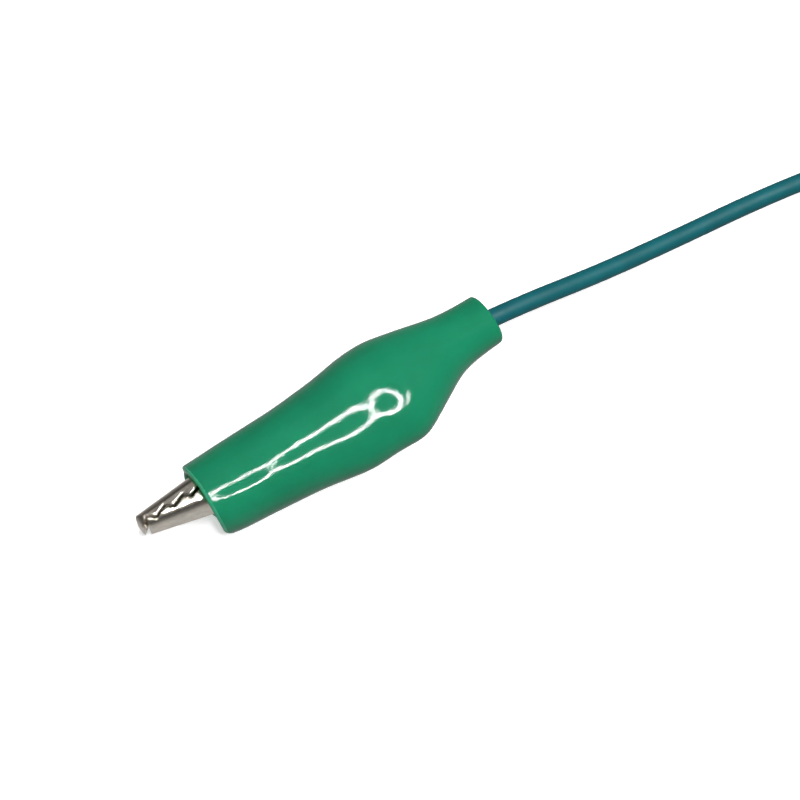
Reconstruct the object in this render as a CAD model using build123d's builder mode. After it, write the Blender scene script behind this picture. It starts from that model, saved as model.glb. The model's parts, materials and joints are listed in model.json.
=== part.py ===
"""An alligator clip lead: a spring clip in a soft sleeve on each end of one insulated wire.

Each clip lies on its side. Its own frame has its origin at the pivot's station on the sleeve's
axis: +X towards the jaws, +Y towards the lever, and Z = 0 in the plane that halves the clip.
"""

from build123d import *

import os
from math import pi, radians, tan

# Sheet metal of the two stamped halves
sheet = 0.4
frame_half_width = 2.5
lever_half_width = 2.0
nose_half_width = 1.45
thumb_half_width = 1.9
tail_half_width = 1.55
taper_start_x = 5.0
nose_corner = 1.1
frame_bend = 1.15
lever_bend = 1.0
bend_loss = 0.9
blank_depth = 4.0

# Noses: the frame's hooks up in front of the lever's, which slants away behind it
nose_x = 16.1
nose_back_y = -2.42
nose_fillet = 0.8
hook_lip = 0.16
hook_y = -0.74
lever_nose = (15.85, -0.44)
lever_nose_fillet = 0.6

# Teeth: a zigzag parting line that rises gently towards the pivot
teeth = 4
first_root_x = 15.05
tooth_pitch = 2.07
tooth_front = 0.72
tooth_height = 0.58
parting_at_nose = -1.27
parting_slope = 0.07
tooth_gap = 0.36

# Pivot
pivot_y = 0.3
ear_radius = 1.75
rivet_radius = 0.75
rivet_play = 0.03
rivet_head_radius = 1.3
rivet_head = 0.35

# Torsion spring
spring_wire = 0.5
spring_radius = 1.22
spring_turns = 3
spring_pitch = 0.54
spring_leg = 4.2
frame_leg_angle = 15.0
lever_leg_angle = 22.0

# Wire, its crimp and its solder
wire_od = 2.0
strand = 0.3
strand_spacing = 1.02 * strand
crimp_front_x = -9.6
crimp_rear_x = -13.7
crimp_play = 0.03
crimp_seam = 0.5
tail_back_y = -3.75
jacket_end_x = -9.8
strip_length = 4.4
solder_x = -7.07
solder_y = -2.42
solder_radii = (1.7, 0.72)

# Insulating sleeve
mouth_x = 9.5
rear_x = -26.5
wall = 0.75
sleeve_roundness = 0.78

# Where the two clips lie
rest_height = 4.1
pivot_x = 5.2
axis_y = -0.94
far_pivot_x = -139.5
far_axis_y = 0.0

# The tied hank of the spare length
hank_x = -89.0
hank_y = -1.0
hank_lobe = 11.0
hank_lobe_radius = 9.0
hank_waist = 8.2
hank_height = 4.2
tie_length = 5.0
tie_band = 0.5
tie_corner = 1.3

barrel_outer = wire_od / 2 + crimp_play + sheet
barrel_y = tail_back_y + barrel_outer
beyond = 8.0

# The backs of the two stamped halves: station, back, half width
frame_back = [
    (8.0, -2.62, 2.23),
    (taper_start_x, -2.65, frame_half_width),
    (-2.6, -2.65, frame_half_width),
    (-5.2, -3.05, 2.1),
]
lever_back = [
    (10.0, 1.04, 1.97),
    (4.5, 2.45, lever_half_width),
    (-0.8, 2.6, lever_half_width),
    (-4.4, 4.25, thumb_half_width),
]

# The sleeve's sections: station, frame side, lever side, half thickness
sleeve_sections = [
    (mouth_x, -3.9, 3.9, 3.6),
    (8.0, -3.85, 4.35, 3.65),
    (4.2, -3.84, 4.75, 3.82),
    (-1.6, -3.8, 5.5, 4.0),
    (-7.0, -4.5, 6.84, 4.15),
    (-10.5, -5.05, 6.85, 4.18),
    (-13.6, -5.13, 7.0, 4.1),
    (-18.3, -3.95, 4.4, 3.35),
    (-20.9, -3.2, 3.2, 2.95),
    (-23.6, -2.9, 2.85, 2.82),
    (rear_x, -2.8, 2.8, 2.8),
]

# The route of the wire from each clip to the hank, in the lead's own frame
near_route = [
    (-4.6, -3.26, 4.1),
    (-10.0, -3.26, 4.1),
    (-17.3, -1.29, 4.1),
    (-25.3, -0.3, 3.75),
    (-35.3, 1.06, 2.2),
    (-45.3, 2.1, 1.15),
    (-54.3, 3.26, 1.0),
    (-63.0, 4.9, 1.0),
    (-71.0, 6.75, 1.0),
    (-76.5, 7.0, 1.0),
]
far_route = [
    (-93.0, -0.75, 3.4),
    (-97.5, -0.45, 4.3),
    (-102.5, -0.1, 4.9),
    (-108.5, 0.2, 4.8),
    (-116.5, 0.3, 4.15),
    (-124.3, 2.32, 4.1),
    (-129.7, 2.32, 4.1),
]


def parting(x):
    """The middle of the zigzag at a station."""
    return parting_at_nose + parting_slope * (first_root_x - x)


def zigzag(shift):
    """The toothed edge from the nose to the pivot, moved towards the lever by shift."""
    points = []
    for i in range(teeth):
        root_x = first_root_x - i * tooth_pitch
        tip_x = root_x - tooth_front
        points.append((root_x, parting(root_x) - tooth_height / 2 + shift))
        if i < teeth - 1:
            points.append((tip_x, parting(tip_x) + tooth_height / 2 + shift))
    return points


def trough(stations, far_y, bend, shrink=0.0):
    """A lofted bar whose rounded back follows the stations, or one set inside it by shrink."""
    side = 1 if far_y > 0 else -1
    with BuildPart() as bar:
        for x, back_y, half_width in stations:
            near_y = back_y + side * shrink
            section = Plane(origin=(x, (far_y + near_y) / 2, 0), x_dir=(0, 1, 0), z_dir=(1, 0, 0))
            with BuildSketch(section):
                RectangleRounded(
                    abs(far_y - near_y), 2 * (half_width - shrink), bend - bend_loss * shrink
                )
        loft(ruled=True)
    return bar.part


def profile_slab(outline, nose, radius):
    """The side view of a stamped half, with its round ears and rounded nose, as a wide slab."""
    with BuildPart() as slab:
        with BuildSketch() as view:
            with BuildLine():
                Polyline(*outline, close=True)
            make_face()
            fillet(view.vertices().sort_by_distance((*nose, 0))[0], radius)
            with Locations((0, pivot_y)):
                Circle(ear_radius)
        extrude(amount=blank_depth, both=True)
    return slab.part


def nose_cap(x):
    """The plan view of a jaw that ends in a rounded nose at x."""
    with BuildPart() as cap:
        with BuildSketch(Plane.XZ) as plan:
            with BuildLine():
                Polyline(
                    (x, -nose_half_width),
                    (x, nose_half_width),
                    (taper_start_x, frame_half_width),
                    (crimp_rear_x, frame_half_width),
                    (crimp_rear_x, -frame_half_width),
                    (taper_start_x, -frame_half_width),
                    close=True,
                )
            make_face()
            fillet(plan.vertices().group_by(Axis.X)[-1], nose_corner)
        extrude(amount=beyond, both=True)
    return cap.part


def make_frame_jaw():
    """The fixed half: toothed jaw, outer ears, tail trough and the crimp barrel."""
    nose_station = (nose_x + 0.5, nose_back_y + 0.02, nose_half_width)
    tail_station = (crimp_front_x, tail_back_y, tail_half_width)
    cavity_front = (nose_x - 0.55, nose_back_y, nose_half_width)
    cavity_rear = (crimp_front_x - 1, tail_back_y, tail_half_width)
    nose = (nose_x, nose_back_y)
    outline = [
        (nose_x - hook_lip, hook_y),
        *zigzag(0),
        (8.2, -1.3),
        (3.1, -1.4),
        (ear_radius, pivot_y),
        (-ear_radius, pivot_y),
        (-3.2, -1.3),
        (-6.0, -1.75),
        (crimp_front_x, -2.3),
        (crimp_front_x, tail_back_y - 1),
        nose,
        (nose_x, hook_y - 2 * hook_lip),
    ]
    shell = trough([nose_station, *frame_back, tail_station], blank_depth, frame_bend)
    cavity = trough([cavity_front, *frame_back, cavity_rear], blank_depth + 1, frame_bend, sheet)
    slab = profile_slab(outline, nose, nose_fillet)
    cap = nose_cap(nose_x)
    barrel = Plane.YZ.offset(crimp_rear_x)
    barrel_length = crimp_front_x - crimp_rear_x
    with BuildPart() as jaw:
        add(shell)
        add(slab, mode=Mode.INTERSECT)
        add(cap, mode=Mode.INTERSECT)
        add(cavity, mode=Mode.SUBTRACT)
        with BuildSketch(barrel):
            with Locations((barrel_y, 0)):
                Circle(barrel_outer)
        extrude(amount=barrel_length)
        with BuildSketch(barrel):
            with Locations((barrel_y, 0)):
                Circle(wire_od / 2 + crimp_play)
            with Locations((barrel_y + barrel_outer, 0)):
                Rectangle(2 * barrel_outer, crimp_seam)
        extrude(amount=barrel_length + 1, mode=Mode.SUBTRACT)
        with BuildSketch():
            with Locations((0, pivot_y)):
                Circle(rivet_radius + rivet_play)
        extrude(amount=blank_depth, both=True, mode=Mode.SUBTRACT)
    return jaw.part


def make_lever_jaw():
    """The moving half: toothed jaw, inner ears and the thumb lever."""
    nose_x_here, nose_y_here = lever_nose
    nose_station = (nose_x_here + 0.65, nose_y_here - 0.18, nose_half_width)
    cavity_front = (nose_x_here - 0.85, nose_y_here + 0.17, nose_half_width)
    thumb_end = (-8.0, 6.0, thumb_half_width)
    thumb_cavity_end = (-9.0, 6.486, thumb_half_width)
    outline = [
        *zigzag(tooth_gap),
        (8.0, -0.75),
        (3.0, -0.55),
        (ear_radius, pivot_y),
        (-ear_radius, pivot_y),
        (-2.4, 1.85),
        (-8.25, 4.7),
        (-6.9, 7.5),
        lever_nose,
    ]
    shell = trough([nose_station, *lever_back, thumb_end], -blank_depth, lever_bend)
    cavity = trough(
        [cavity_front, *lever_back, thumb_cavity_end], -blank_depth - 1, lever_bend, sheet
    )
    slab = profile_slab(outline, lever_nose, lever_nose_fillet)
    cap = nose_cap(nose_x_here)
    with BuildPart() as jaw:
        add(shell)
        add(slab, mode=Mode.INTERSECT)
        add(cap, mode=Mode.INTERSECT)
        add(cavity, mode=Mode.SUBTRACT)
        with BuildSketch():
            with Locations((0, pivot_y)):
                Circle(rivet_radius + rivet_play)
        extrude(amount=blank_depth, both=True, mode=Mode.SUBTRACT)
    return jaw.part


def make_rivet():
    """The pivot rivet, headed on both sides."""
    with BuildPart() as rivet:
        with BuildSketch():
            with Locations((0, pivot_y)):
                Circle(rivet_radius)
        extrude(amount=frame_half_width, both=True)
        for side in (1, -1):
            with BuildSketch(Plane.XY.offset(side * frame_half_width)):
                with Locations((0, pivot_y)):
                    Circle(rivet_head_radius)
            extrude(amount=side * rivet_head)
        rims = rivet.edges().filter_by(GeomType.CIRCLE).group_by(Axis.Z)
        fillet(rims[0] + rims[-1], 0.7 * rivet_head)
    return rivet.part


def make_spring():
    """The torsion spring round the rivet, with one leg on each half."""
    start = -90 + frame_leg_angle
    end = 90 - lever_leg_angle
    height = (spring_turns + (end - start) / 360) * spring_pitch
    with BuildPart() as spring:
        with BuildLine() as path:
            coil = Helix(spring_pitch, height, spring_radius)
            Line(coil @ 0 - (coil % 0) * spring_leg, coil @ 0)
            Line(coil @ 1, coil @ 1 + (coil % 1) * spring_leg)
        with BuildSketch(Plane(origin=path.wire() @ 0, z_dir=path.wire() % 0)):
            Circle(spring_wire / 2)
        sweep(path=path.wire(), is_frenet=True)
    return Location((0, pivot_y, -height / 2), (0, 0, start)) * spring.part


def make_strands():
    """The bared conductor: one strand in the middle of six."""
    with BuildPart() as strands:
        with BuildSketch(Plane.YZ.offset(jacket_end_x)):
            with Locations((barrel_y, 0)):
                Circle(strand / 2)
                with PolarLocations(strand_spacing, 6):
                    Circle(strand / 2)
        extrude(amount=strip_length)
    return strands.part


def make_solder(frame_jaw):
    """The solder that joins the strands to the floor of the tail trough."""
    length, radius = solder_radii
    with BuildPart() as solder:
        with BuildSketch(Plane(origin=(solder_x, solder_y, 0))):
            Ellipse(length, radius)
            with Locations((0, -radius)):
                Rectangle(2 * length, 2 * radius, mode=Mode.SUBTRACT)
        revolve(axis=Axis((solder_x, solder_y, 0), (1, 0, 0)))
        add(frame_jaw, mode=Mode.SUBTRACT)
        with BuildSketch(Plane.YZ.offset(jacket_end_x)):
            with Locations((barrel_y, 0)):
                Circle(strand_spacing + strand / 2 + crimp_play / 6)
        extrude(amount=2 * strip_length, mode=Mode.SUBTRACT)
    return solder.part


def sleeve_skin(inset=0.0, overrun=0.0):
    """The sleeve's outer skin, or one set inside it, run past both ends by overrun."""
    with BuildPart() as skin:
        for x, frame_y, lever_y, half in sleeve_sections:
            if x in (mouth_x, rear_x):
                x += overrun if x == mouth_x else -overrun
            section = Plane(
                origin=(x, (frame_y + lever_y) / 2, 0), x_dir=(0, 1, 0), z_dir=(1, 0, 0)
            )
            with BuildSketch(section):
                RectangleRounded(
                    lever_y - frame_y - 2 * inset, 2 * (half - inset), sleeve_roundness * half - inset
                )
        loft()
    return skin.part


def make_boot():
    """The insulating sleeve, open at both ends, with the flat that it rests on."""
    outside = sleeve_skin()
    inside = sleeve_skin(wall, 1.0)
    with BuildPart() as boot:
        add(outside)
        add(inside, mode=Mode.SUBTRACT)
        split(bisect_by=Plane.XY.offset(-rest_height), keep=Keep.TOP)
    return boot.part


def wire_tube(name, route):
    """A round wire along straight runs joined by tangent arcs as large as the runs allow."""
    corners = [Vector(*point) for point in route]
    runs = [b - a for a, b in zip(corners, corners[1:])]
    radii = []
    for before, after in zip(runs, runs[1:]):
        half_turn = radians(before.get_angle(after)) / 2
        radii.append(0.45 * min(before.length, after.length) / tan(half_turn))
    with BuildPart() as tube:
        with BuildLine() as path:
            FilletPolyline(*route, radius=radii)
        with BuildSketch(Plane(origin=path.wire() @ 0, z_dir=path.wire() % 0)):
            Circle(wire_od / 2)
        sweep(path=path.wire())
    length = path.wire().length
    expected = length * pi * (wire_od / 2) ** 2
    print(name, "length", round(length, 1), "radii", [round(r, 1) for r in radii])
    print(name, "volume", round(tube.part.volume, 1), "section times length", round(expected, 1))
    return tube.part


def make_tie():
    """The flat band round the hank's waist."""
    width, height = hank_waist + 2 * tie_band, hank_height + tie_band
    with BuildPart() as tie:
        with BuildSketch(Plane.YZ.offset(hank_x - tie_length / 2)):
            with Locations((hank_y, height / 2)):
                RectangleRounded(width, height, tie_corner)
                RectangleRounded(
                    hank_waist, height - 2 * tie_band, tie_corner - tie_band, mode=Mode.SUBTRACT
                )
        extrude(amount=tie_length)
    return tie.part


def make_hank(tie):
    """The outer shape of the spare wire, wound into a long loop and gathered at its waist."""
    waist_x = hank_x - tie_length / 2
    with BuildPart() as hank:
        for side in (1, -1):
            with BuildSketch(Plane(origin=(hank_x, hank_y, 0))):
                with Locations((side * hank_lobe, 0)):
                    Circle(hank_lobe_radius)
                with Locations((side * tie_length / 4, 0)):
                    Rectangle(tie_length / 2, hank_waist)
                make_hull()
            extrude(amount=hank_height)
        with BuildSketch(Plane.YZ.offset(waist_x)):
            with Locations((hank_y, hank_height)):
                Rectangle(2 * hank_lobe_radius, 2 * hank_height)
                RectangleRounded(
                    hank_waist, 2 * (hank_height - tie_band), tie_corner - tie_band, mode=Mode.SUBTRACT
                )
        extrude(amount=tie_length, mode=Mode.SUBTRACT)
        add(tie, mode=Mode.SUBTRACT)
    return hank.part


def write(name, part):
    part.label = name
    export_step(part, f"parts/{name}.step")


os.makedirs("parts", exist_ok=True)

frame_jaw = make_frame_jaw()
clip = {
    "frame_jaw": frame_jaw,
    "lever_jaw": make_lever_jaw(),
    "pivot_rivet": make_rivet(),
    "torsion_spring": make_spring(),
    "insulating_boot": make_boot(),
    "bared_conductor": make_strands(),
    "solder_joint": make_solder(frame_jaw),
}
places = {
    "near": Location((pivot_x, axis_y, rest_height)),
    "far": Location((far_pivot_x, far_axis_y, rest_height), (0, 0, 180)),
}
for end, place in places.items():
    for name, piece in clip.items():
        write(f"{name}_{end}", piece.moved(place))

write("wire_lead", wire_tube("wire_lead", near_route))
write("wire_tail", wire_tube("wire_tail", far_route))
tie = make_tie()
write("wire_hank", make_hank(tie))
write("hank_tie", tie)
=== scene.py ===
"""An alligator clip lead lying on a white table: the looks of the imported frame."""

import json
import math

import bpy
import numpy as np
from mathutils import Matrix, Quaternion, Vector


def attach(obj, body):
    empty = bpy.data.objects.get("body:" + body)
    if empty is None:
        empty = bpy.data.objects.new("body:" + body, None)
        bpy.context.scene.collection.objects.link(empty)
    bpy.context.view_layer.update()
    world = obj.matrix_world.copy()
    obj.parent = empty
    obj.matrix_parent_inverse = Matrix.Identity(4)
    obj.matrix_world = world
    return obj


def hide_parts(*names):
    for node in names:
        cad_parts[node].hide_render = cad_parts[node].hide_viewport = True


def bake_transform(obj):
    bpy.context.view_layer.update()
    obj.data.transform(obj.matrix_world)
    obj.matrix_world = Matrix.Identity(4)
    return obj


MM = 0.001
SIDE = {"near": 1, "far": -1}  # the far clip lies turned half a turn from the near one

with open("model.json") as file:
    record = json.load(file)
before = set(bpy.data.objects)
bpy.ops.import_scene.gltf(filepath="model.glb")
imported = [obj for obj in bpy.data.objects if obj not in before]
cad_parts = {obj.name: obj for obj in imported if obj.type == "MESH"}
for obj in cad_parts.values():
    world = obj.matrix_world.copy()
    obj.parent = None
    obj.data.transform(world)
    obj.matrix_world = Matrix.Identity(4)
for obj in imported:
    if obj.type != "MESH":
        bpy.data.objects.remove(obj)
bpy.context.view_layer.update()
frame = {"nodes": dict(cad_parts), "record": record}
nodes = frame["nodes"]
joints = frame["record"]["behaviour"]["joints"]
joint_at = {joint["name"]: Vector(joint["pos_m"]) for joint in joints}


def mm(x, y, z):
    """A point in the part's frame, from millimetres."""
    return Vector((x, y, z)) * MM


def link(name, data):
    """A new object for some data, in the scene."""
    thing = bpy.data.objects.new(name, data)
    bpy.context.scene.collection.objects.link(thing)
    return thing


# ---------------------------------------------------------------- camera

AZIMUTH, ELEVATION = 144.4, 65.0
AIM = mm(-8.23, 1.42, 4.1)
CAMERA_DISTANCE = 0.225
LENS, SENSOR = 98, 36


def make_camera():
    """A long lens that looks down at the near clip over its nose and its lever side."""
    azimuth, elevation = math.radians(AZIMUTH), math.radians(ELEVATION)
    back = Vector((
        math.sin(azimuth) * math.cos(elevation),
        -math.cos(azimuth) * math.cos(elevation),
        math.sin(elevation),
    ))
    data = bpy.data.cameras.new("camera")
    data.lens = LENS
    data.sensor_width = SENSOR
    data.clip_start, data.clip_end = 0.01, 5
    camera = link("camera", data)
    camera.location = AIM + back * CAMERA_DISTANCE
    camera.rotation_mode = "QUATERNION"
    camera.rotation_quaternion = (-back).to_track_quat("-Z", "Y")
    bpy.context.scene.camera = camera


# ---------------------------------------------------------------- materials

class Shader:
    """A node material with a Principled shader and short ways to add noise to it."""

    def __init__(self, name, color, metallic=0.0, roughness=0.5, ior=1.5):
        self.material = bpy.data.materials.new(name)
        self.material.use_nodes = True
        self.tree = self.material.node_tree
        self.bsdf = self.tree.nodes["Principled BSDF"]
        self.color = color
        self.set("Base Color", (*color, 1))
        self.set("Metallic", metallic)
        self.set("Roughness", roughness)
        self.set("IOR", ior)
        self.place = self.tree.nodes.new("ShaderNodeTexCoord").outputs["Object"]
        self.normal = None

    def set(self, socket, value):
        """A constant on one of the shader's own sockets."""
        self.bsdf.inputs[socket].default_value = value

    def noise(self, size_mm, detail=3.0, stretch=(1, 1, 1)):
        """A noise whose grain is about size_mm, stretched along the object's axes."""
        mapping = self.tree.nodes.new("ShaderNodeMapping")
        mapping.inputs["Scale"].default_value = [1 / s for s in stretch]
        self.tree.links.new(self.place, mapping.inputs["Vector"])
        noise = self.tree.nodes.new("ShaderNodeTexNoise")
        noise.inputs["Scale"].default_value = 1 / (size_mm * MM)
        noise.inputs["Detail"].default_value = detail
        self.tree.links.new(mapping.outputs["Vector"], noise.inputs["Vector"])
        return noise.outputs["Fac"]

    def ramp(self, fac, low, high):
        """Two values or colours spread over the middle of a factor's range."""
        ramp = self.tree.nodes.new("ShaderNodeValToRGB")
        for element, place, value in zip(ramp.color_ramp.elements, (0.3, 0.7), (low, high)):
            element.position = place
            element.color = (value,) * 3 + (1,) if isinstance(value, float) else (*value, 1)
        self.tree.links.new(fac, ramp.inputs["Fac"])
        return ramp.outputs["Color"]

    def vary_color(self, fac, low, high):
        """The base colour, from low to high times itself."""
        dark = tuple(c * low for c in self.color)
        light = tuple(min(1.0, c * high) for c in self.color)
        color = self.ramp(fac, dark, light)
        self.tree.links.new(color, self.bsdf.inputs["Base Color"])

    def vary_roughness(self, fac, low, high):
        """The roughness, from low to high."""
        self.tree.links.new(self.ramp(fac, low, high), self.bsdf.inputs["Roughness"])

    def bump(self, fac, height_mm):
        """A relief of height_mm, on top of any that is there."""
        bump = self.tree.nodes.new("ShaderNodeBump")
        bump.inputs["Distance"].default_value = height_mm * MM
        bump.inputs["Strength"].default_value = 1.0
        self.tree.links.new(fac, bump.inputs["Height"])
        if self.normal:
            self.tree.links.new(self.normal, bump.inputs["Normal"])
        self.normal = bump.outputs["Normal"]
        self.tree.links.new(self.normal, self.bsdf.inputs["Normal"])

    def bow(self, middle_mm, slope_per_mm):
        """Flat sides lean away from a middle line along x, as if crowned across."""
        split = self.tree.nodes.new("ShaderNodeSeparateXYZ")
        self.tree.links.new(self.place, split.inputs[0])
        away = self.math("MULTIPLY_ADD", split.outputs["Y"], 1 / MM, -middle_mm)
        self.bump(self.math("MULTIPLY", self.math("MULTIPLY", away, away), -1.0), slope_per_mm)

    def math(self, operation, *values):
        """A Math node on links and numbers."""
        node = self.tree.nodes.new("ShaderNodeMath")
        node.operation = operation
        for socket, value in zip(node.inputs, values):
            if isinstance(value, bpy.types.NodeSocket):
                self.tree.links.new(value, socket)
            else:
                socket.default_value = value
        return node.outputs[0]

    def ease_edges(self, radius_mm):
        """Edges catch the light as if they were rounded to this radius."""
        bevel = self.tree.nodes.new("ShaderNodeBevel")
        bevel.samples = 6
        bevel.inputs["Radius"].default_value = radius_mm * MM
        self.normal = bevel.outputs["Normal"]
        self.tree.links.new(self.normal, self.bsdf.inputs["Normal"])


def green_pvc(name="green_pvc", color=(0.0085, 0.192, 0.095), through=0.35, depth_mm=0.9):
    """Glossy translucent dip-moulded vinyl, with a fine orange-peel grain."""
    s = Shader(name, color, roughness=0.12, ior=1.42)
    s.set("Subsurface Weight", through)
    s.set("Subsurface Radius", (0.25, 1.0, 0.55))
    s.set("Subsurface Scale", depth_mm * MM)
    s.vary_color(s.noise(6.0, 4.0), 0.92, 1.08)
    s.vary_roughness(s.noise(1.2, 4.0), 0.05, 0.09)
    s.bump(s.noise(0.16, 1.0), 0.007)
    s.bump(s.noise(0.3, 1.0), 0.003)
    s.bump(s.noise(2.6, 2.0), 0.03)
    return s.material


def nickel(name, middle_mm, slope_per_mm):
    """Bright nickel over stamped steel, with a soft satin grain and a slight bow across."""
    s = Shader(name, (0.83, 0.77, 0.67), metallic=1.0, roughness=0.2)
    s.ease_edges(0.26)
    s.bow(middle_mm, slope_per_mm)
    s.vary_color(s.noise(0.7, 5.0), 0.86, 1.04)
    s.vary_roughness(s.noise(0.35, 4.0), 0.12, 0.22)
    s.bump(s.noise(0.09, 3.0), 0.004)
    s.bump(s.noise(0.9, 2.0), 0.01)
    return s.material


def rivet_steel():
    s = Shader("rivet_steel", (0.58, 0.57, 0.55), metallic=1.0, roughness=0.28)
    s.ease_edges(0.05)
    s.vary_roughness(s.noise(0.3, 4.0), 0.2, 0.38)
    s.bump(s.noise(0.15, 3.0), 0.003)
    return s.material


def spring_steel():
    """Drawn wire, with fine lines along it."""
    s = Shader("spring_steel", (0.4, 0.39, 0.38), metallic=1.0, roughness=0.3)
    s.vary_color(s.noise(0.5, 4.0), 0.8, 1.1)
    s.vary_roughness(s.noise(0.2, 3.0), 0.22, 0.4)
    s.bump(s.noise(0.1, 3.0, stretch=(6, 1, 1)), 0.002)
    return s.material


def teal_wire():
    """Softer, less glossy vinyl than the sleeve's."""
    s = Shader("teal_wire", (0.003, 0.093, 0.108), roughness=0.5, ior=1.32)
    s.set("Subsurface Weight", 0.12)
    s.set("Subsurface Radius", (0.2, 0.6, 0.6))
    s.set("Subsurface Scale", 0.5 * MM)
    s.vary_color(s.noise(3.0, 4.0), 0.9, 1.12)
    s.vary_roughness(s.noise(0.8, 4.0), 0.45, 0.58)
    s.bump(s.noise(0.12, 3.0), 0.003)
    s.bump(s.noise(1.5, 2.0, stretch=(4, 1, 1)), 0.01)
    return s.material


def copper():
    s = Shader("copper", (0.86, 0.46, 0.3), metallic=1.0, roughness=0.3)
    s.vary_color(s.noise(0.4, 4.0), 0.75, 1.05)
    s.vary_roughness(s.noise(0.2, 3.0), 0.2, 0.42)
    return s.material


def solder():
    s = Shader("solder", (0.6, 0.6, 0.6), metallic=1.0, roughness=0.3)
    s.vary_roughness(s.noise(0.3, 4.0), 0.2, 0.45)
    s.bump(s.noise(0.4, 3.0), 0.02)
    return s.material


# A wave's period is 0.314 over its scale, so ribs and grooves are each 0.45 mm wide
RIB_SCALE = 0.16 / (0.45 * MM)


def tie_band():
    """Black soft-touch plastic with fine ribs."""
    s = Shader("tie_band", (0.018, 0.018, 0.02), roughness=0.5)
    wave = s.tree.nodes.new("ShaderNodeTexWave")
    wave.bands_direction = "X"
    wave.inputs["Scale"].default_value = RIB_SCALE
    wave.inputs["Distortion"].default_value = 0.0
    s.tree.links.new(s.place, wave.inputs["Vector"])
    s.vary_color(s.noise(1.0, 4.0), 0.8, 1.3)
    s.vary_roughness(s.noise(0.3, 3.0), 0.42, 0.6)
    s.bump(wave.outputs["Fac"], 0.05)
    s.bump(s.noise(0.1, 2.0), 0.003)
    return s.material


def stage_white(name, color, glow):
    """Matt white with a little light of its own, so that shadows stay faint."""
    s = Shader(name, color, roughness=0.7)
    s.set("Emission Color", (1.0, 1.0, 1.0, 1))
    s.set("Emission Strength", glow)
    return s.material


# The finish of each kind of CAD node; the jaws each have one under their own name
FINISH_OF = {
    "pivot_rivet": "rivet_steel",
    "bared_conductor": "copper",
    "solder_joint": "solder",
    "torsion_spring": "spring_steel",
    "insulating_boot": "green_pvc",
    "hank_tie": "tie_band",
    "wire": "teal_wire",
}


def dress_cad_nodes(finish):
    """Each CAD node gets its own finish."""
    for name, node in nodes.items():
        kinds = [kind for start, kind in FINISH_OF.items() if name.startswith(start)]
        node.data.materials.clear()
        node.data.materials.append(finish[kinds[0] if kinds else name])


# ---------------------------------------------------------------- insulating sleeves

# The sleeve's sections in millimetres, from near the clip's pivot: station along the clip,
# frame side, lever side, half thickness. The first is the mouth and the last the rear end.
SLEEVE = [
    (9.5, -4.2, 4.15, 3.6),
    (8.0, -4.2, 4.6, 3.65),
    (4.2, -4.25, 5.0, 3.82),
    (-1.6, -4.2, 5.75, 4.0),
    (-7.0, -4.55, 7.0, 4.15),
    (-10.5, -5.1, 6.9, 4.18),
    (-13.6, -5.2, 7.25, 3.98),
    (-18.3, -4.05, 4.8, 3.35),
    (-20.9, -3.3, 3.4, 2.95),
    (-23.6, -3.0, 3.0, 2.82),
    (-26.5, -2.95, 2.9, 2.8),
]
WALL = 0.75
CORNER = 1.4  # how far the sections' straight runs are rounded into each other
FLOOR = -4.1  # the table, seen from the pivot's height
ROUND_POWER = 2 / 2.06  # just squarer than an ellipse
BULGE_AT, BULGE_LENGTH, BULGE_THINS = -9.0, 7.0, 0.16  # the bulge is thinner at the lever side
NECK_FROM, NECK_SINKS = -20.0, 0.035  # the neck's upper half sinks, per millimetre
STATIONS = 150
EASED_SHARE = 0.35  # of the stations' spacing, which is closer at the two ends
AROUND = 128
RIM_STEPS = 6
RIM_FLATTENED = 0.8
# Rings inside the mouth that take the rim's lighter green, a painted glow of light through the
# thin vinyl
PAINTED_GLOW_RINGS = 8

# The mouth's rim stands forward above the lever, and is cut back below and at the frame's side
MOUTH_FORWARD, MOUTH_BACK = 0.3, 1.15
MOUTH_CORNER, MOUTH_CORNER_SPREAD = 0.25, 0.35

# Soft ridges (+) and creases (-) in the upper skin: two ends, width and height
FOLDS = [
    ((8.8, -1.5), (8.8, 3.2), 3.0, 0.2),
    ((3.9, -1.5), (3.7, 3.2), 2.0, -0.13),
    ((-10.2, 0.5), (-10.5, 4.8), 1.2, -0.09),
    ((-14.6, 0.0), (-14.0, 5.5), 1.8, -0.12),
    ((-13.7, 2.5), (-12.6, 4.9), 0.28, -0.012),
    ((-14.4, 3.0), (-12.9, 5.3), 0.3, 0.012),
    ((-9.2, 5.5), (-10.4, 4.9), 0.5, -0.04),
]
# Those at the neck, which only the near sleeve has
NECK_FOLDS = [
    ((-19.8, 1.3), (-22.4, 1.5), 0.4, 0.05),
    ((-22.4, 1.5), (-26.3, 1.2), 0.4, 0.03),
    ((-20.2, 1.8), (-21.6, 2.1), 0.22, -0.04),
    ((-19.9, 2.7), (-14.9, 4.9), 0.4, 0.04),
]

# How far a sleeve is set off from its clip's pivot
SLEEVE_OFFSET = mm(0, 0.3, 0)


def eased(x, xs, ys):
    """A table's straight runs with their corners rounded over CORNER, sampled at x."""
    steps = np.linspace(-2, 2, 17)
    weights = np.exp(-(steps**2))
    order = np.argsort(xs)
    xs, ys = np.array(xs, float)[order], np.array(ys, float)[order]
    beyond = 10
    first_slope = (ys[1] - ys[0]) / (xs[1] - xs[0])
    last_slope = (ys[-1] - ys[-2]) / (xs[-1] - xs[-2])
    xs = np.concatenate([[xs[0] - beyond], xs, [xs[-1] + beyond]])
    ys = np.concatenate([
        [ys[0] - beyond * first_slope],
        ys,
        [ys[-1] + beyond * last_slope],
    ])
    samples = [w * np.interp(x + CORNER * step, xs, ys) for w, step in zip(weights, steps)]
    return sum(samples) / weights.sum()


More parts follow.
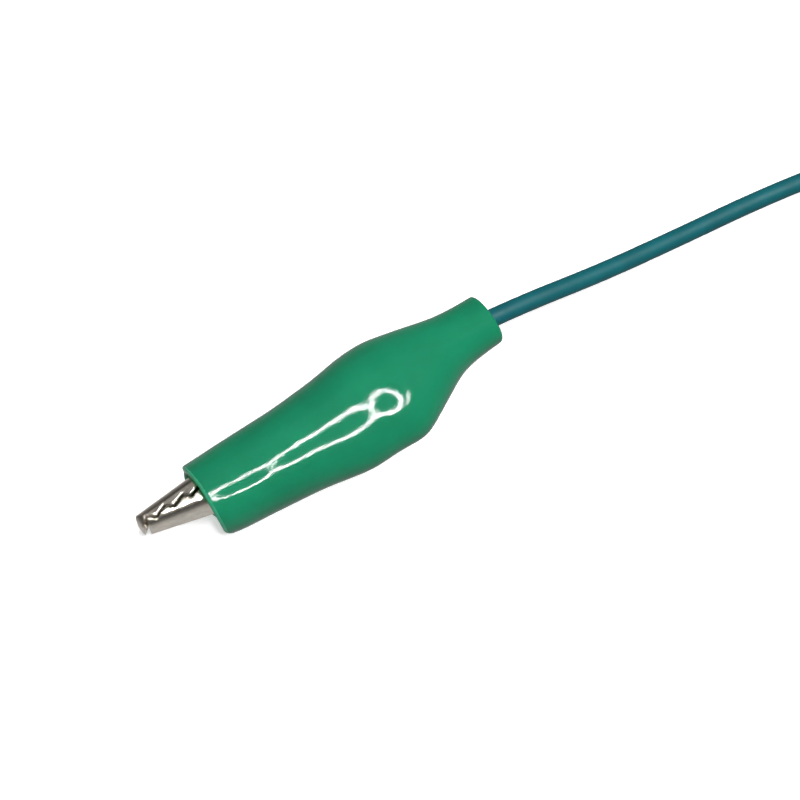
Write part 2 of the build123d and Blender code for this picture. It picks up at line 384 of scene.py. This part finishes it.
def fold_relief(x, y, folds):
    """How far the folds lift the upper skin at a place."""
    lift = np.zeros_like(x)
    for (x0, y0), (x1, y1), width, height in folds:
        dx, dy = x1 - x0, y1 - y0
        t = np.clip(((x - x0) * dx + (y - y0) * dy) / (dx * dx + dy * dy), 0, 1)
        away = np.hypot(x - x0 - t * dx, y - y0 - t * dy)
        lift += height * np.exp(-((away / width) ** 2))
    return lift


def sleeve_skin(x, angle, inset, folds):
    """Points of the sleeve's skin, set inside the outer one by inset."""
    stations, *columns = zip(*SLEEVE)
    frame_y, lever_y, half = (eased(x, stations, column) for column in columns)
    reach, half = (lever_y - frame_y) / 2 - inset, half - inset
    middle = (lever_y + frame_y) / 2
    c, s = np.cos(angle), np.sin(angle)
    y = middle + reach * np.sign(c) * np.abs(c) ** ROUND_POWER
    bulge = np.exp(-(((x - BULGE_AT) / BULGE_LENGTH) ** 2))
    narrow = 1 - BULGE_THINS * bulge * np.clip((y - middle) / reach, -0.2, 1)
    narrow -= np.where(s > 0, 1, 0) * NECK_SINKS * np.clip(NECK_FROM - x, 0, 7)
    z = half * narrow * np.sign(s) * np.abs(s) ** ROUND_POWER
    z = z + np.where(z > 0, 1, 0) * fold_relief(x, y, folds) * np.clip(z / half, 0, 1)
    return y, np.maximum(z, FLOOR + inset)


def smooth(t):
    """Nought to one, with no corner at either end."""
    t = np.clip(t, 0, 1)
    return t * t * (3 - 2 * t)


def mouth_station(angle):
    """Where the mouth's rim is along the clip, at each angle round it."""
    lever, upper = np.cos(angle), np.sin(angle)
    corner = MOUTH_CORNER * np.exp(-(((angle - math.pi) / MOUTH_CORNER_SPREAD) ** 2))
    forward = MOUTH_FORWARD * np.clip(lever, 0, 1) * np.clip(upper, 0, 1)
    back = MOUTH_BACK * smooth(-upper / 0.6) * smooth((lever + 0.6) / 1.4)
    return SLEEVE[0][0] + forward - back - corner


def grid_faces(rings, around, closed):
    """Quads between successive rings of points, and from the last to the first if closed."""
    faces = []
    for ring in range(rings if closed else rings - 1):
        here, there = ring * around, (ring + 1) % rings * around
        for i in range(around):
            j = (i + 1) % around
            faces.append((here + i, there + i, there + j, here + j))
    return faces


def sleeve_mesh(name, folds):
    """The closed skin of a sleeve: outside, rear rim, inside and the mouth's rim."""
    angles = np.linspace(0, 2 * math.pi, AROUND, endpoint=False)
    radius = WALL / 2
    front, rear = mouth_station(angles) - radius, np.full(AROUND, SLEEVE[-1][0] + radius)
    ends_closer = (1 - np.cos(np.linspace(0, math.pi, STATIONS))) / 2
    even = np.linspace(0, 1, STATIONS)
    along = EASED_SHARE * ends_closer + (1 - EASED_SHARE) * even
    turns = [math.pi * k / RIM_STEPS for k in range(1, RIM_STEPS)]
    lips = [radius * math.sin(turn) * RIM_FLATTENED for turn in turns]
    # Each ring: its stations along the clip, and how far it lies inside the outer skin
    rings = [(front + (rear - front) * t, 0.0) for t in along]
    rings += [(rear - lip, radius * (1 - math.cos(turn))) for lip, turn in zip(lips, turns)]
    rings += [(front + (rear - front) * t, WALL) for t in along[::-2]]
    rings += [(front + lip, radius * (1 + math.cos(turn))) for lip, turn in zip(lips, turns)]
    points = []
    for x, inset in rings:
        y, z = sleeve_skin(x, angles, inset, folds)
        points.append(np.stack([x, y, z], axis=1))
    points = np.concatenate(points) * MM
    mesh = bpy.data.meshes.new(name)
    mesh.from_pydata(points.tolist(), [], grid_faces(len(rings), AROUND, closed=True))
    mesh.shade_smooth()
    # The mouth's rim and the inner skin just inside it get the lighter rim green: painted glow
    # of light through the vinyl
    pale = RIM_STEPS + PAINTED_GLOW_RINGS
    rim = [0] * AROUND * (len(rings) - pale) + [1] * AROUND * pale
    mesh.polygons.foreach_set("material_index", rim)
    mesh.update()
    return mesh


def make_sleeve(end, materials, folds):
    """One sleeve, in place on its clip."""
    name = f"sleeve_{end}"
    mesh = sleeve_mesh(name, folds)
    for material in materials:
        mesh.materials.append(material)
    pivot = joint_at[f"{end}_jaw"]
    sleeve = link(name, mesh)
    sleeve.location = pivot - SIDE[end] * SLEEVE_OFFSET
    sleeve.rotation_euler = (0, 0, 0 if end == "near" else math.pi)
    bpy.context.view_layer.update()
    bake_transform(sleeve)
    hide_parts(f"insulating_boot_{end}")
    return sleeve


# ---------------------------------------------------------------- torsion springs


def make_spring(end, material):
    """The spring: a copy of its CAD node in its own finish."""
    node = f"torsion_spring_{end}"
    mesh = nodes[node].data.copy()
    mesh.materials.clear()
    mesh.materials.append(material)
    mesh.shade_smooth()
    spring = link(f"coil_{end}", mesh)
    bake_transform(spring)
    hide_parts(node)
    return spring


# ---------------------------------------------------------------- wire

WIRE_RADIUS = 1.0
HANK = (-89.0, -1.0)
HANK_ENTRY = (8.6, 8.0, 1.0)

# The wire from the near clip to the hank, and from the hank to the far clip
NEAR_ROUTE = [
    (-4.6, -3.26, 4.1),
    (-10.0, -3.26, 4.1),
    (-17.3, -1.29, 4.1),
    (-25.3, -0.3, 3.75),
    (-35.3, 1.06, 2.2),
    (-45.3, 2.1, 1.15),
    (-54.3, 3.26, 1.0),
    (-63.0, 4.9, 1.0),
    (-71.0, 6.75, 1.0),
    (-76.5, 7.0, 1.0),
]
FAR_ROUTE = [
    (-93.0, -0.75, 3.6),
    (-97.5, -0.45, 4.5),
    (-102.5, -0.1, 4.9),
    (-108.5, 0.2, 4.8),
    (-116.5, 0.3, 4.15),
    (-124.3, 2.32, 4.1),
    (-129.7, 2.32, 4.1),
]

# Each run of the hank: its lane in the lobes and in the tie, its height there, and how far
# from the middle it starts to spread
RUNS = [
    (8.0, 3.0, 1.5, 2.0),
    (-8.0, -3.0, 1.5, 2.2),
    (6.0, 1.0, 1.5, 2.8),
    (-6.0, -1.0, 1.5, 2.9),
    (7.0, 2.0, 3.25, 2.4),
    (-7.0, -2.0, 3.25, 2.4),
    (5.0, 0.0, 3.3, 2.2),
]
# Each fold between two runs: how far its middle is from the tie, and its heights going round
FOLD_HEIGHTS = [
    (11.0, (1.0, 1.0, 1.0, 1.0, 1.0, 1.0, 1.0)),
    (11.9, (1.0, 1.0, 1.0, 1.0, 1.0, 1.0, 1.0)),
    (11.0, (1.0, 1.0, 1.0, 1.0, 1.0, 1.0, 1.0)),
    (10.5, (1.0, 1.0, 1.0, 1.5, 3.2, 3.4, 2.95)),
    (11.0, (2.85, 2.85, 2.85, 2.85, 2.85, 2.85, 2.85)),
    (10.2, (2.85, 2.85, 2.95, 3.35, 3.5, 3.3, 3.1)),
]
FOLD_START, FOLD_STEP = 108, 36  # degrees


def between(a, b):
    """The point half way between two."""
    return tuple((p + q) / 2 for p, q in zip(a, b))


def hank_points():
    """The runs through the tie, joined by round folds at the two ends."""
    points = [HANK_ENTRY]
    for i, (lane, tie_lane, tie_z, spread) in enumerate(RUNS):
        heading = -1 if i % 2 == 0 else 1
        side = math.copysign(1, lane)
        enter = (-heading * spread, tie_lane, tie_z)
        leave = (heading * spread, tie_lane, tie_z)
        points += [between(points[-1], enter), enter]
        if i == len(FOLD_HEIGHTS):
            break
        reach, heights = FOLD_HEIGHTS[i]
        next_lane = RUNS[i + 1][0]
        middle, radius = (lane + next_lane) / 2, abs(lane - next_lane) / 2
        flare = radius / math.cos(math.radians(FOLD_STEP / 2))
        fold = []
        for k, z in enumerate(heights):
            turn = math.radians(FOLD_START - FOLD_STEP * k)
            x = heading * (reach + flare * math.cos(turn))
            fold.append((x, middle + side * flare * math.sin(turn), z))
        points += [leave, between(leave, fold[0]), *fold]
    return [(HANK[0] + x, HANK[1] + y, z) for x, y, z in points]


def make_wire(material):
    """The insulated wire: one smooth curve from crimp to crimp."""
    points = NEAR_ROUTE + hank_points() + FAR_ROUTE
    curve = bpy.data.curves.new("insulated_wire", "CURVE")
    curve.dimensions = "3D"
    curve.bevel_depth = WIRE_RADIUS * MM
    curve.bevel_resolution = 8
    curve.use_fill_caps = True
    curve.resolution_u = 10
    spline = curve.splines.new("NURBS")
    spline.points.add(len(points) - 1)
    for point, place in zip(spline.points, points):
        point.co = (*mm(*place), 1)
    spline.order_u = 3
    spline.use_endpoint_u = True
    curve.materials.append(material)
    wire = link("insulated_wire", curve)
    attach(wire, "lead")
    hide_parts("wire_lead", "wire_hank", "wire_tail")
    return wire


# ---------------------------------------------------------------- table and light

TABLE_RADIUS = 0.32
# The backdrop's profile in metres: radius and height, from the table's edge to overhead
SWEEP = [
    (TABLE_RADIUS, 0.0),
    (1.2, 0.004),
    (1.6, 0.08),
    (1.9, 0.3),
    (2.0, 0.7),
    (2.0, 2.4),
    (0.002, 2.6),
]
TURNED_SIDES = 96


def turned(name, profile, material):
    """A staged surface of revolution through a profile of radii and heights in metres."""
    points = []
    for radius, z in profile:
        for i in range(TURNED_SIDES):
            turn = 2 * math.pi * i / TURNED_SIDES
            points.append((radius * math.cos(turn), radius * math.sin(turn), z))
    mesh = bpy.data.meshes.new(name)
    mesh.from_pydata(points, [], grid_faces(len(profile), TURNED_SIDES, closed=False))
    mesh.materials.append(material)
    mesh.shade_smooth()
    thing = link(name, mesh)
    thing.visible_glossy = thing.visible_diffuse = False
    return thing


def make_stage():
    """A white table, and a white backdrop that sweeps up behind it on every side."""
    table_white = stage_white("table_white", (0.9, 0.9, 0.9), 0.55)
    backdrop_white = stage_white("backdrop_white", (0.1, 0.1, 0.1), 0.96)
    turned("table", [(0.002, 0), (TABLE_RADIUS, 0)], table_white)
    turned("backdrop", SWEEP, backdrop_white).visible_shadow = False


# The ring lamp in metres, as a ring of short straight lamps
RING_DISTANCE, RING_RADIUS, RING_TUBE, RING_LAMPS = 0.52, 0.13, 0.01, 24
RING_TOWARD = Vector((-0.16, 0.25, 0.955)).normalized()
RING_LAMP_POWER = 0.18

# How bright the room is by the height of a direction: pale below, darker walls, ceiling
ROOM = [
    (-0.85, 0.5),
    (-0.3, 0.36),
    (-0.05, 0.17),
    (0.3, 0.1),
    (0.6, 0.05),
    (0.85, 0.2),
    (1.0, 0.22),
]


def make_ring_lamp():
    """A ring light overhead."""
    facing = RING_TOWARD.to_track_quat("Z", "Y")
    for i in range(RING_LAMPS):
        turn = 2 * math.pi * i / RING_LAMPS
        data = bpy.data.lights.new(f"ring_{i}", "AREA")
        data.shape = "RECTANGLE"
        data.size = RING_TUBE
        data.size_y = 2 * RING_RADIUS * math.tan(math.pi / RING_LAMPS)
        data.energy = RING_LAMP_POWER
        lamp = link(f"ring_{i}", data)
        lamp.rotation_mode = "QUATERNION"
        lamp.rotation_quaternion = facing @ Quaternion((0, 0, 1), turn)
        outward = lamp.rotation_quaternion @ Vector((RING_RADIUS, 0, 0))
        lamp.location = RING_TOWARD * RING_DISTANCE + outward


def make_room():
    """The world's own light, which is what the pieces reflect besides each other."""
    world = bpy.data.worlds.new("room")
    world.use_nodes = True
    tree = world.node_tree
    direction = tree.nodes.new("ShaderNodeTexCoord").outputs["Generated"]
    height = tree.nodes.new("ShaderNodeSeparateXYZ")
    tree.links.new(direction, height.inputs[0])
    # From -1 to 1 into the ramp's range
    scaled = tree.nodes.new("ShaderNodeMath")
    scaled.operation = "MULTIPLY_ADD"
    scaled.inputs[1].default_value = scaled.inputs[2].default_value = 0.5
    tree.links.new(height.outputs["Z"], scaled.inputs[0])
    ramp = tree.nodes.new("ShaderNodeValToRGB")
    while len(ramp.color_ramp.elements) < len(ROOM):
        ramp.color_ramp.elements.new(0.5)
    for element, (z, value) in zip(ramp.color_ramp.elements, ROOM):
        element.position = (z + 1) / 2
        element.color = (value, value, value, 1)
    tree.links.new(scaled.outputs[0], ramp.inputs["Fac"])
    tree.links.new(ramp.outputs["Color"], tree.nodes["Background"].inputs["Color"])
    bpy.context.scene.world = world
    bpy.context.scene.view_settings.view_transform = "Standard"


# ---------------------------------------------------------------- the scene

make_camera()
finish = {
    "green_pvc": green_pvc(),
    # A lighter green for the mouth's rim, painted glow of light shining through the thin vinyl
    # there
    "green_rim_painted_glow": green_pvc("green_rim_painted_glow", (0.05, 0.34, 0.2), through=1.0, depth_mm=1.6),
    "frame_jaw_near": nickel("nickel_frame_near", -3.2, 0.03),
    "lever_jaw_near": nickel("nickel_lever_near", -4.75, 0.02),
    "frame_jaw_far": nickel("nickel_frame_far", 2.26, 0.03),
    "lever_jaw_far": nickel("nickel_lever_far", 3.81, 0.02),
    "rivet_steel": rivet_steel(),
    "spring_steel": spring_steel(),
    "teal_wire": teal_wire(),
    "copper": copper(),
    "solder": solder(),
    "tie_band": tie_band(),
}
dress_cad_nodes(finish)
wire = make_wire(finish["teal_wire"])
sleeve_finish = [finish["green_pvc"], finish["green_rim_painted_glow"]]
make_sleeve("near", sleeve_finish, FOLDS + NECK_FOLDS)
make_spring("near", finish["spring_steel"])
far_sleeve = make_sleeve("far", sleeve_finish, FOLDS)
far_spring = make_spring("far", finish["spring_steel"])
make_stage()
make_ring_lamp()
make_room()
